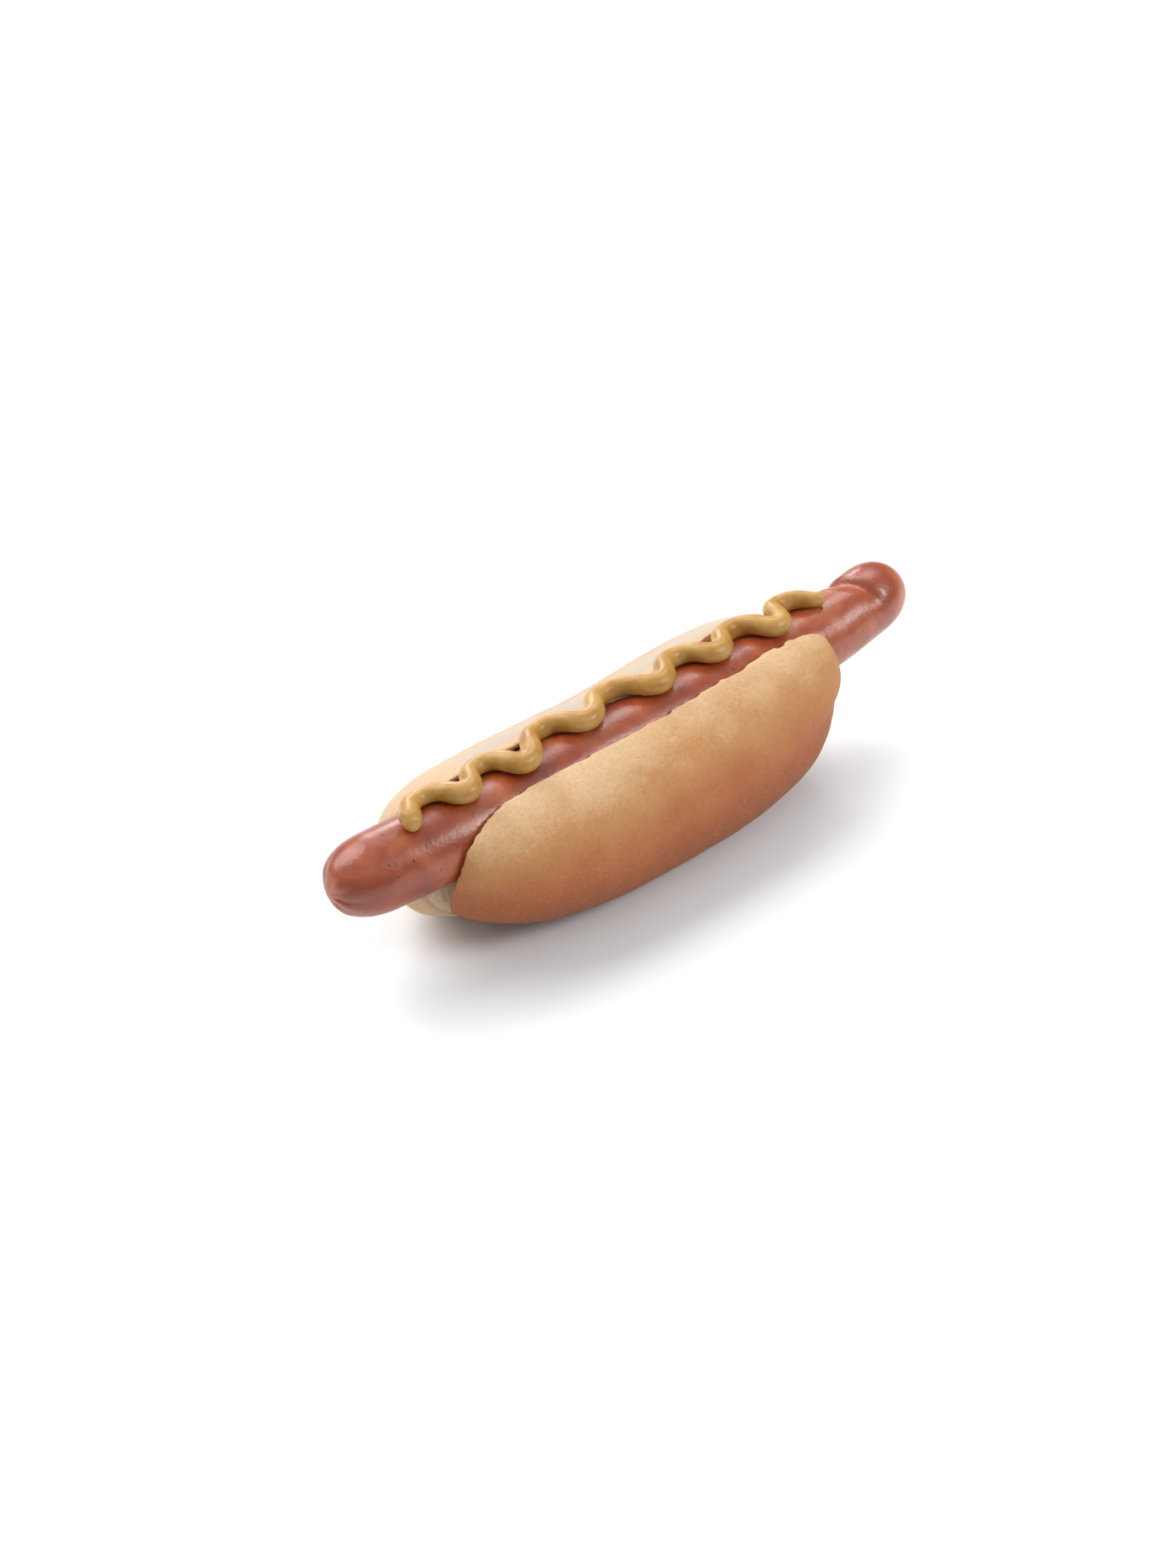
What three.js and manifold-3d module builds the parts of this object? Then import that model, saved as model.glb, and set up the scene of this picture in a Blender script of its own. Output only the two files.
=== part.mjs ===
// Hot dog: a soft roll slit along its top, a sausage longer than the roll lying in the slit,
// and a bead of mustard piped in waves along the sausage.
// Millimetres, +Z up. +X runs along the roll, -Y is the plumper lobe's side,
// and z = 0 is the roll's flat base.

import * as THREE from 'three';
import { mergeVertices } from 'three/addons/utils/BufferGeometryUtils.js';
import Module from 'manifold-3d';

// ---------------------------------------------------------------- driving dimensions

const GAP = 0.3; // clearance between neighbouring pieces

const ROLL = {
  centreX: -5.4, // the roll sits a little off the sausage's middle
  halfLength: 76.1,
  halfWidth: 32.8,
  middleZ: 26.8, // height of the roll's widest line
  above: 22.3, // crown above the widest line
  below: 27.8, // rounded underside below it, cut off flat at z = 0
  crownSquareness: 1.73, // cross-section exponents, 2 is an ellipse
  baseSquareness: 2.8,
  // lengthwise exponents of the -Y lobe's ends, and what is added to them on the +Y lobe
  endSquareness: { side: 2.7, crown: 5, base: 2.8 },
  leftEndSquareness: { side: 3, crown: 5, base: 2.5 },
  farSquareness: { side: 1, base: 1.6 },
  stagger: 2.4, // the -Y lobe sits this far towards +X, the +Y lobe towards -X
  stretch: 0.005, // the +Y lobe is this share longer, the -Y lobe shorter
  lobeBlend: 5, // the two lobes' stagger blends over y = -5 to 5
  riseRight: 4.9, // the crown lifts towards the +X end
  riseLeft: 1.5, // and a little towards the -X end
  riseOver: 70,
  riseTop: 45,
  riseNear: 1.2, // the -Y lobe's crown stands this much higher
  riseNearFrom: 50, // to the right of x = -50
  riseNearOver: 45,
  around: 46,
  along: 38,
};

const SLIT = {
  hingeY: -2.8,
  hingeZ: 8, // crumb left uncut below the slit
  hingeRadius: 1,
  farFlareDeg: 14, // the walls' slope below the sausage's middle
  nearFlareDeg: 24,
  farMouth: 10.6, // from the slit's middle to the two rims
  nearMouth: 9.3,
  gapeWall: 13.3, // at the -X end the -Y wall stands off the sausage by this much
  gapeFrom: 57,
  gapeOver: 22,
  steps: 24,
  clearTop: 80,
};

const SAUSAGE = {
  leftTip: -110.9,
  rightTip: 110.4,
  radiusLeft: 12.45,
  radiusRight: 11.9,
  slimmerLeft: 0.5, // taken off the radius towards each tip
  slimmerRight: 0.7,
  slimFrom: 60,
  slimOver: 45,
  capLeft: 16.6, // length of each rounded tip
  capRight: 14.3,
  capSquareness: 2.15,
  middleY: -0.7,
  middleZ: 37.25,
  tilt: 0.012, // rise of the middle stretch per millimetre of length
  bow: 1.2, // the middle stretch arches up
  bowHalf: 60,
  left: { from: 59.5, over: 43, y: 3.2, z: -0.8 }, // how each end curves away
  right: { from: 63.5, over: 34, y: 0.4, z: 3.9 },
  dimple: 0.7, // the tied skin at the left tip
  dimpleRadius: 2,
  crease: { fromTip: 19.6, half: 3.4, depth: 1.5, side: 0.3 }, // dent across the top near the right tip
  around: 26,
  along: 30,
  capRings: 7,
};

const MUSTARD = {
  turns: 13, // half waves between the blob and the tail
  firstTurnX: -77.2,
  pitch: 11.77, // length of one half wave
  drift: 3.5, // waves are closer at both ends than in the middle
  nearShift: 0.9, // turns on the -Y side come a little later
  lean: 0.8, // the crossings swing back and forth
  rounding: 0.6, // the turns are rounder and the crossings steeper than an even wave's
  angleDeg: 7, // the wave's middle line, round from the crest towards +Y
  angleGainDeg: 4, // gained over the first waves
  swingDeg: 16,
  firstSwing: 0.7, // the first turns swing this share of the rest
  blobAngleDeg: -7, // the blob sits lower on the -Y side
  radius: 2.75,
  turnExtra: 0.7, // the bead is fatter where it turns back on the -Y side
  insideLimit: 0.75, // how far towards a turn's centre the bead's inside may reach
  sit: 2.4, // height of the bead's middle above the skin
  heap: 0.4, // added where the bead turns back on the -Y side
  climb: 1.2, // added on the +Y side, where the bead piles up beside the rim
  blobRadius: 3.6,
  blobCap: 2,
  tailRadius: 1.9,
  tailCap: 2,
  capSquareness: 2.4,
  sides: 9,
  rings: 118,
  capRings: 3,
};

// How far each turn, from the blob to the tail, lies off its place: along X and in degrees round.
const STRAY = [
  [-1.2, -3],
  [0.8, 0],
  [0.3, -5.5],
  [0.8, -2],
  [-0.4, -8],
  [1.1, -1],
  [-0.4, 1.5],
  [0, 0],
  [0, -1],
  [0.2, 0],
  [-1.5, 2],
  [-0.8, 0],
  [-0.4, -4.5],
  [-1.2, 0],
  [0.6, 2],
];

const COLOURS = { roll: '#c69262', sausage: '#a4583f', mustard: '#b8893f' };

// ---------------------------------------------------------------- small helpers

const wasm = await Module();
wasm.setup();

const UP = new THREE.Vector3(0, 0, 1);
const smooth = (t) => THREE.MathUtils.smoothstep(t, 0, 1);
const lerp = THREE.MathUtils.lerp;

// One closed set of triangles on shared vertices, without the collapsed ones at a pole.
function weld(geometry) {
  const bare = geometry.clone();
  for (const name of ['normal', 'uv']) bare.deleteAttribute(name);
  const welded = mergeVertices(bare, 1e-4);
  const index = [];
  for (let i = 0; i < welded.index.count; i += 3) {
    const [a, b, c] = [0, 1, 2].map((k) => welded.index.getX(i + k));
    if (a !== b && b !== c && c !== a) index.push(a, b, c);
  }
  welded.setIndex(index);
  return welded;
}

function toSolid(geometry) {
  const welded = weld(geometry);
  const triVerts = new Uint32Array(welded.index.array);
  const vertProperties = new Float32Array(welded.attributes.position.array);
  return new wasm.Manifold(new wasm.Mesh({ numProp: 3, vertProperties, triVerts }));
}

function toGeometry(solid) {
  const mesh = solid.getMesh();
  const geometry = new THREE.BufferGeometry();
  geometry.setAttribute('position', new THREE.BufferAttribute(mesh.vertProperties, 3));
  geometry.setIndex(new THREE.BufferAttribute(mesh.triVerts, 1));
  geometry.computeVertexNormals();
  return geometry;
}

// Moves every vertex of a geometry to what place(vertex) returns.
function reshape(geometry, place) {
  const position = geometry.attributes.position;
  const vertex = new THREE.Vector3();
  for (let i = 0; i < position.count; i++) {
    vertex.fromBufferAttribute(position, i);
    position.setXYZ(i, ...place(vertex).toArray());
  }
  return geometry;
}

// A round body lathed up the Y axis is bent so that the axis follows the curve.
// upAt(share) is the direction that the body's own Z takes there, at a share of the curve's length.
function bendAlong(geometry, curve, upAt) {
  const length = curve.getLength();
  const tangent = new THREE.Vector3();
  const across = new THREE.Vector3();
  const upward = new THREE.Vector3();
  return reshape(geometry, (v) => {
    const share = THREE.MathUtils.clamp(v.y / length, 0, 1);
    curve.getTangentAt(share, tangent);
    across.crossVectors(tangent, upAt(share)).normalize();
    upward.crossVectors(across, tangent);
    return curve.getPointAt(share).addScaledVector(across, v.x).addScaledVector(upward, v.z);
  });
}

// Stations along a body of this length: close together in both caps, even between them.
function stations(length, capStart, capEnd, rings, capRings) {
  const list = [];
  const eased = (i) => 1 - Math.cos((i / capRings) * (Math.PI / 2));
  for (let i = 0; i < capRings; i++) list.push(capStart * eased(i));
  for (let i = 0; i <= rings; i++) list.push(lerp(capStart, length - capEnd, i / rings));
  for (let i = capRings - 1; i >= 0; i--) list.push(length - capEnd * eased(i));
  return list;
}

// Share of the full radius at a distance from a rounded tip.
function capShare(distance, cap, squareness) {
  const t = THREE.MathUtils.clamp(distance / cap, 0, 1);
  return (1 - (1 - t) ** squareness) ** (1 / squareness);
}

// ---------------------------------------------------------------- sausage

class SausageLine extends THREE.Curve {
  getPoint(t, target = new THREE.Vector3()) {
    const x = lerp(SAUSAGE.leftTip, SAUSAGE.rightTip, t);
    const left = Math.max(0, (-x - SAUSAGE.left.from) / SAUSAGE.left.over) ** 2;
    const right = Math.max(0, (x - SAUSAGE.right.from) / SAUSAGE.right.over) ** 2;
    const bow = Math.max(0, 1 - (x / SAUSAGE.bowHalf) ** 2) ** 2;
    const y = SAUSAGE.middleY + SAUSAGE.left.y * left + SAUSAGE.right.y * right;
    const z = SAUSAGE.middleZ + SAUSAGE.tilt * x + SAUSAGE.bow * bow
      + SAUSAGE.left.z * left + SAUSAGE.right.z * right;
    return target.set(x, y, z);
  }
}

const sausageLine = new SausageLine();

const shareAlong = (x) => (x - SAUSAGE.leftTip) / (SAUSAGE.rightTip - SAUSAGE.leftTip);

function sausageRadius(x) {
  const along = shareAlong(x);
  const slimLeft = SAUSAGE.slimmerLeft * smooth((-x - SAUSAGE.slimFrom) / SAUSAGE.slimOver);
  const slimRight = SAUSAGE.slimmerRight * smooth((x - SAUSAGE.slimFrom) / SAUSAGE.slimOver);
  return lerp(SAUSAGE.radiusLeft, SAUSAGE.radiusRight, along) - slimLeft - slimRight;
}

function sausageShape(grown = 0) {
  const length = sausageLine.getLength();
  const profile = stations(length, SAUSAGE.capLeft, SAUSAGE.capRight, SAUSAGE.along, SAUSAGE.capRings)
    .map((s) => {
      const x = sausageLine.getPointAt(s / length).x;
      const caps = capShare(s, SAUSAGE.capLeft, SAUSAGE.capSquareness)
        * capShare(length - s, SAUSAGE.capRight, SAUSAGE.capSquareness);
      return new THREE.Vector2(caps * (sausageRadius(x) + grown), s);
    });
  const body = new THREE.LatheGeometry(profile, SAUSAGE.around);
  const { fromTip, half, depth, side } = SAUSAGE.crease;
  reshape(body, (v) => {
    const radius = Math.hypot(v.x, v.z);
    const dimple = SAUSAGE.dimple * Math.exp(-((radius / SAUSAGE.dimpleRadius) ** 2));
    const top = Math.max(0, (v.z * Math.cos(side) - v.x * Math.sin(side)) / Math.max(radius, GAP));
    const dent = depth * top ** 2 * Math.exp(-(((length - v.y - fromTip) / half) ** 2));
    const pull = grown > 0 ? 0 : dent / Math.max(radius, GAP);
    const inset = grown > 0 || v.y > SAUSAGE.capLeft ? 0 : dimple;
    return v.set(v.x * (1 - pull), v.y + inset, v.z * (1 - pull));
  });
  return bendAlong(body, sausageLine, () => UP);
}

// ---------------------------------------------------------------- roll

// The roll's rounded outer form, before it is slit.
function rollForm() {
  const form = new THREE.SphereGeometry(1, ROLL.around, ROLL.along);
  form.rotateZ(Math.PI / 2);
  return reshape(form, (v) => {
    const up = v.z > 0;
    const height = up ? ROLL.above : ROLL.below;
    const q = up ? ROLL.crownSquareness : ROLL.baseSquareness;
    const section = (Math.abs(v.y) ** q + Math.abs(v.z) ** q) ** (1 / q);
    const pole = section > 0 ? Math.abs(v.z) / section : 0;
    const far = smooth(0.5 + v.y);
    const end = v.x < 0 ? ROLL.leftEndSquareness : ROLL.endSquareness;
    const side = end.side + ROLL.farSquareness.side * far;
    const base = end.base + ROLL.farSquareness.base * far;
    const p = lerp(side, up ? end.crown : base, pole);
    const reach = (Math.abs(v.x) ** p + section ** p) ** (1 / p);
    v.set(v.x * ROLL.halfLength, v.y * ROLL.halfWidth, v.z * height).divideScalar(reach);
    v.z = Math.max(0, v.z + ROLL.middleZ);
    return offsetLobes(v);
  });
}

// The two lobes are staggered along X, and the crown rises towards both ends and over the -Y lobe.
function offsetLobes(v) {
  const lobe = 2 * smooth((v.y + ROLL.lobeBlend) / (2 * ROLL.lobeBlend)) - 1;
  const ends = ROLL.riseRight * smooth(v.x / ROLL.riseOver) + ROLL.riseLeft * smooth(-v.x / ROLL.riseOver);
  const near = ROLL.riseNear * (0.5 - 0.5 * lobe) * smooth((v.x + ROLL.riseNearFrom) / ROLL.riseNearOver);
  const lifted = v.z + (ends + near) * smooth(v.z / ROLL.riseTop);
  const x = v.x * (1 + ROLL.stretch * lobe) - ROLL.stagger * lobe;
  return v.set(x + ROLL.centreX, v.y, lifted);
}

// What the slit takes out above and below the sausage, as one prism along X.
function slitPrism() {
  const seatZ = SAUSAGE.middleZ;
  const [far, near] = [SLIT.farFlareDeg, SLIT.nearFlareDeg].map(THREE.MathUtils.degToRad);
  const farHalf = (seatZ - SLIT.hingeZ) * Math.tan(far);
  const nearHalf = (seatZ - SLIT.hingeZ) * Math.tan(near);
  const centreZ = SLIT.hingeZ + SLIT.hingeRadius;
  const outline = new THREE.Shape();
  outline.absarc(SLIT.hingeY, centreZ, SLIT.hingeRadius, Math.PI + near, 2 * Math.PI - far, false);
  outline.lineTo(farHalf, seatZ);
  outline.lineTo(SLIT.farMouth, seatZ);
  outline.lineTo(SLIT.farMouth, SLIT.clearTop);
  outline.lineTo(-SLIT.nearMouth, SLIT.clearTop);
  outline.lineTo(-SLIT.nearMouth, seatZ);
  outline.lineTo(-nearHalf, seatZ);
  const depth = SAUSAGE.rightTip - SAUSAGE.leftTip;
  const prism = new THREE.ExtrudeGeometry(outline, {
    depth,
    steps: SLIT.steps,
    bevelEnabled: false,
    curveSegments: 6,
  });
  prism.translate(0, 0, -depth / 2);
  prism.rotateX(Math.PI / 2);
  prism.rotateZ(Math.PI / 2);
  return reshape(prism, gape);
}

// Towards the -X end the slit's -Y wall stands off the sausage.
function gape(v) {
  const share = smooth((-v.x - SLIT.gapeFrom) / SLIT.gapeOver);
  return v.setY(v.y < 2 * SLIT.hingeY ? lerp(v.y, -SLIT.gapeWall, share) : v.y);
}

function rollSolid() {
  const seat = toSolid(sausageShape(GAP));
  return toSolid(rollForm()).subtract(toSolid(slitPrism())).subtract(seat);
}

// ---------------------------------------------------------------- mustard

// Half wave t runs from turn to turn: whole numbers are turns, even ones on the +Y side.
const farShare = (t) => 0.5 + 0.5 * Math.cos(Math.PI * t);

// How far the line lies off its even waves, eased from one turn to the next.
function stray(t, part) {
  const last = THREE.MathUtils.clamp(Math.floor(t + 1), 0, STRAY.length - 2);
  return lerp(STRAY[last][part], STRAY[last + 1][part], smooth(t + 1 - last));
}

function waveX(t) {
  const { turns, firstTurnX, pitch, drift, nearShift, lean, rounding } = MUSTARD;
  const spread = drift * Math.sin((2 * Math.PI * t) / (turns - 0.5));
  const swing = lean * Math.sin(Math.PI * t) + rounding * Math.sin(2 * Math.PI * t);
  return firstTurnX + pitch * t - spread + nearShift * (1 - farShare(t)) + swing + stray(t, 0);
}

// Angle round the sausage from its crest, towards +Y.
function waveAngle(t) {
  const begun = smooth((t + 1) / 5);
  const middle = MUSTARD.angleDeg + MUSTARD.angleGainDeg * begun + MUSTARD.blobAngleDeg * smooth(-t);
  const swing = MUSTARD.swingDeg * lerp(MUSTARD.firstSwing, 1, begun);
  return THREE.MathUtils.degToRad(middle + swing * Math.cos(Math.PI * t) + stray(t, 1));
}

// Height of the bead's middle above the skin.
function waveHeight(t) {
  const far = farShare(t);
  return MUSTARD.sit + MUSTARD.heap * (1 - far) + MUSTARD.climb * smooth(t / 6) * far;
}

class MustardLine extends THREE.Curve {
  arcLengthDivisions = 1500;

  turnAt(share) {
    return lerp(-1, MUSTARD.turns, this.getUtoTmapping(share));
  }

  skinNormal(t, target = new THREE.Vector3()) {
    return target.set(0, Math.sin(waveAngle(t)), Math.cos(waveAngle(t)));
  }

  getPoint(share, target = new THREE.Vector3()) {
    const t = lerp(-1, MUSTARD.turns, share);
    const x = waveX(t);
    sausageLine.getPoint(shareAlong(x), target);
    return target.addScaledVector(this.skinNormal(t), sausageRadius(x) + waveHeight(t));
  }
}

function beadRadius(t) {
  const body = MUSTARD.radius + MUSTARD.turnExtra * (1 - farShare(t));
  const blob = (MUSTARD.blobRadius - body) * smooth(-t * 2 - 1);
  const tail = (MUSTARD.tailRadius - body) * smooth(t - MUSTARD.turns + 1);
  return body + blob + tail;
}

function mustardShape() {
  const line = new MustardLine();
  const length = line.getLength();
  const { blobCap, tailCap, capSquareness, rings, capRings } = MUSTARD;
  const profile = stations(length, blobCap, tailCap, rings, capRings).map((s) => {
    const caps = capShare(s, blobCap, capSquareness) * capShare(length - s, tailCap, capSquareness);
    return new THREE.Vector2(caps * beadRadius(line.turnAt(s / length)), s);
  });
  const bead = new THREE.LatheGeometry(profile, MUSTARD.sides);
  reshape(bead, (v) => {
    const t = line.turnAt(Math.min(v.y / length, 1));
    const drop = (waveHeight(t) - GAP) / beadRadius(t); // the underside reaches down to just above the skin
    return keepFromFolding(v.setZ(v.z < 0 ? v.z * drop : v.z), line, length);
  });
  return bendAlong(bead, line, (share) => line.skinNormal(line.turnAt(share)));
}

// On the inside of a tight turn the bead is pressed together and stops short of the turn's centre.
function keepFromFolding(v, line, length) {
  const step = 0.4;
  const shareAt = (s) => THREE.MathUtils.clamp(s / length, 0, 1);
  const [before, share, after] = [v.y - step, v.y, v.y + step].map(shareAt);
  const tangent = line.getTangentAt(share);
  const bend = line.getTangentAt(after).sub(line.getTangentAt(before)).divideScalar(2 * step);
  const across = tangent.cross(line.skinNormal(line.turnAt(share))).normalize();
  const inward = v.x * bend.dot(across);
  if (inward > MUSTARD.insideLimit) v.x *= MUSTARD.insideLimit / inward;
  return v;
}

// ---------------------------------------------------------------- assembly

function piece(name, geometry, color, roughness) {
  const material = new THREE.MeshStandardMaterial({ color, roughness, metalness: 0 });
  const mesh = new THREE.Mesh(geometry, material);
  mesh.name = name;
  return mesh;
}

const group = new THREE.Group();
group.add(piece('bun', toGeometry(rollSolid()), COLOURS.roll, 0.75));
group.add(piece('sausage', weld(sausageShape()), COLOURS.sausage, 0.35));
group.add(piece('mustard', weld(mustardShape()), COLOURS.mustard, 0.4));

export default group;
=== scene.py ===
"""A hot dog: a slit soft roll, a long sausage lying in the slit and a bead of mustard piped in waves."""

import bisect
import math
from collections import namedtuple

import bmesh
import bpy
from bpy.props import FloatProperty, FloatVectorProperty, IntProperty, PointerProperty
from mathutils import Matrix, Vector, noise
from mathutils.bvhtree import BVHTree


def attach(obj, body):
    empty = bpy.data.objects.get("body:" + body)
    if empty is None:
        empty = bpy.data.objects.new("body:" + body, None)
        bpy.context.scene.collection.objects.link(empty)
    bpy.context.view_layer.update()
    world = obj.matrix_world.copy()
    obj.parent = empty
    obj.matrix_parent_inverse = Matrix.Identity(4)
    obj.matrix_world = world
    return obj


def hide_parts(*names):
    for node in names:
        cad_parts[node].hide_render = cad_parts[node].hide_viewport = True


bl_info = {
    "name": "Hot Dog",
    "version": (1, 0, 0),
    "blender": (4, 5, 0),
    "location": "3D View > Sidebar > Hot Dog",
    "description": "Makes a soft roll, a long sausage and a bead of piped mustard",
    "category": "Add Mesh",
}

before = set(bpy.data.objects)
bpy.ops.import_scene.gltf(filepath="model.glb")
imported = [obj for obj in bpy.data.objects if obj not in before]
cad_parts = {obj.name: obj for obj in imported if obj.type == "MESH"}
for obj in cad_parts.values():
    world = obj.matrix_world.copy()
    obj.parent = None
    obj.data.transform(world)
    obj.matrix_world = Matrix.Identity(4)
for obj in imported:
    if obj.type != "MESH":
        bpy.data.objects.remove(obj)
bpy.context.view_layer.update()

# Metres, +Z up. +X runs along the roll, -Y is the plumper lobe's side, and z = 0 is the roll's flat base.
MM = 0.001
UP = Vector((0, 0, 1))
CLEARANCE = 0.3 * MM  # between the sausage and the crumb round it

# ------------------------------------------------------------------ the roll's form

CROWN_SQUARENESS = 1.73  # cross-section exponents, 2 is an ellipse
BASE_SQUARENESS = 2.8
END_SIDE = 2.7  # lengthwise exponents at the widest line, over the crown and under the base
END_CROWN = 5.0
END_BASE = 2.8
END_SIDE_LEFT = 3.0
END_BASE_LEFT = 2.5
END_FAR = 1.0  # the far lobe's ends are this much squarer
END_FAR_BASE = 1.6
LOBE_BLEND = 5 * MM  # the two lobes' stagger blends over twice this
LOBE_STRETCH = 0.005  # the far lobe is this share longer, the near lobe shorter
RISE_OVER = 70 * MM  # the crown lifts over this much from the middle to either end
RISE_TOP = 45 * MM  # and fully from this height up
NEAR_RISE_FROM = 50 * MM  # the near lobe's extra height starts this far left of the middle
NEAR_RISE_OVER = 45 * MM

SLIT_HINGE_Z = 8 * MM  # crumb left uncut below the slit
SLIT_HINGE_Y = -2.8 * MM
SLIT_HINGE_RADIUS = 1 * MM
SLIT_FLARE_FAR = math.radians(14)  # the walls' slope below the sausage's middle
SLIT_FLARE_NEAR = math.radians(24)
SLIT_TOP = 80 * MM  # well above the crust
SLIT_CUTS = 80  # steps along the slit, so that its walls can bend
SLIT_WAVE = 0.32 * MM  # the rims are not quite straight
SLIT_WAVE_LENGTH = 9 * MM
NEAR_WAVE_SEED = 31
FAR_WAVE_SEED = 40
FAR_LIP = 3.7 * MM  # the far lobe leans over the sausage by this much, less towards the right
LIP_FROM = 10 * MM
LIP_OVER = 55 * MM
GAPE_WALL = 13.3 * MM  # at the left end the near wall bends out to this far from the slit's middle
GAPE_FROM = 57 * MM
GAPE_OVER = 22 * MM
CRUST_THICKNESS = 1 * MM  # deeper than this the bread is crumb

# ------------------------------------------------------------------ the sausage's form

# A bend starts this far out, and after "over" more the line is off by y and z.
Bend = namedtuple("Bend", "start over y z")
LEFT_BEND = Bend(59.5 * MM, 43 * MM, 3.2 * MM, -0.8 * MM)
RIGHT_BEND = Bend(63.5 * MM, 34 * MM, 0.4 * MM, 3.9 * MM)
BOW_HALF = 60 * MM  # the arched stretch's half length
TILT = 0.012  # rise of the middle stretch over its length
SLIM_FROM = 60 * MM  # the sausage slims towards its tips from here
SLIM_OVER = 45 * MM
SLIM_LEFT = 0.5 * MM
SLIM_RIGHT = 0.7 * MM
CAP_LEFT = 16.6 * MM  # lengths of the rounded tips
CAP_RIGHT = 14.3 * MM
CAP_SQUARENESS = 2.15
CAP_RINGS = 0.14  # share of the rings spent on each rounded tip

# ------------------------------------------------------------------ the mustard's form

FIRST_TURN_X = -77.2 * MM
DRIFT = 3.5 * MM  # waves are closer at both ends than in the middle
# How far each turn lies off its place, from the blob to the tail: millimetres along X, degrees round.
STRAY = (
    (-1.2, -3),
    (0.8, 0),
    (0.3, -5.5),
    (0.8, -2),
    (-0.4, -8),
    (1.1, -1),
    (-0.4, 1.5),
    (0, 0),
    (0, -1),
    (0.2, 0),
    (-1.5, 2),
    (-0.8, 0),
    (-0.4, -4.5),
    (-1.2, 0),
    (0.6, 2),
)
NEAR_SHIFT = 0.9 * MM  # the near turns lie this much further right
LEAN = 0.8 * MM  # crossings to the near side lie this much further right, those back further left
ROUNDING = 0.6 * MM  # the turns are rounder and the crossings steeper than an even wave's
WAVE_MIDDLE = math.radians(7)  # the wave's middle line, round from the crest towards +Y
WAVE_MIDDLE_GAIN = math.radians(4)
WAVE_SWING = math.radians(16)
FIRST_SWING = 0.7  # share of the full swing at the blob
SWELL_TURNS = 5  # the swing grows to full over this many turns
CLIMB_TURNS = 6  # and the climb beside the far rim over this many
DRIFT_SHORT = 0.5  # the drift's cycle ends this many turns before the tail
BLOB_ANGLE = math.radians(-7)  # the blob lies this much further round, towards -Y
INSIDE_LIMIT = 0.75  # how far towards a turn's centre the bead's inside may reach


# ------------------------------------------------------------------ small helpers


def smooth(t):
    """Ease from 0 to 1 while t goes from 0 to 1, and stay flat outside."""
    t = min(1.0, max(0.0, t))
    return t * t * (3 - 2 * t)


def lerp(a, b, t):
    return a + (b - a) * t


def hump(distance, half):
    """A bell of height 1 at no distance."""
    return math.exp(-((distance / half) ** 2))


def linear(code):
    """A colour's six-digit code as linear red, green and blue."""
    shares = [int(code[i : i + 2], 16) / 255 for i in (0, 2, 4)]
    return tuple(c / 12.92 if c <= 0.04045 else ((c + 0.055) / 1.055) ** 2.4 for c in shares)


def cap_share(distance, cap, squareness):
    """Share of the full radius at a distance from a rounded tip."""
    t = min(1.0, max(0.0, distance / cap))
    return (1 - (1 - t) ** squareness) ** (1 / squareness)


def station(share, length, cap_start, cap_end, rings):
    """Distance along a body for a share of its rings, which lie closer together in both caps."""
    if share < rings:
        return cap_start * (1 - math.cos(share / rings * math.pi / 2))
    if share > 1 - rings:
        return length - cap_end * (1 - math.cos((1 - share) / rings * math.pi / 2))
    return lerp(cap_start, length - cap_end, (share - rings) / (1 - 2 * rings))


class Path:
    """A curve that can be walked by its length."""

    STEP = 0.2 * MM

    def __init__(self, point_at, start, end, samples):
        self.values = [lerp(start, end, i / samples) for i in range(samples + 1)]
        self.points = [point_at(value) for value in self.values]
        self.reached = [0.0]
        for a, b in zip(self.points, self.points[1:]):
            self.reached.append(self.reached[-1] + (b - a).length)
        self.length = self.reached[-1]

    def locate(self, distance):
        distance = min(self.length, max(0.0, distance))
        i = min(len(self.points) - 2, max(0, bisect.bisect_right(self.reached, distance) - 1))
        return i, (distance - self.reached[i]) / (self.reached[i + 1] - self.reached[i])

    def value(self, distance):
        i, share = self.locate(distance)
        return lerp(self.values[i], self.values[i + 1], share)

    def point(self, distance):
        i, share = self.locate(distance)
        return self.points[i].lerp(self.points[i + 1], share)

    def tangent(self, distance):
        middle = min(self.length - self.STEP, max(self.STEP, distance))
        return (self.point(middle + self.STEP) - self.point(middle - self.STEP)).normalized()

    def axes(self, distance, upward):
        """The tangent, the direction across it and the one square to both, nearest to upward."""
        tangent = self.tangent(distance)
        across = tangent.cross(upward).normalized()
        return tangent, across, across.cross(tangent)


# ------------------------------------------------------------------ forms


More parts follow.
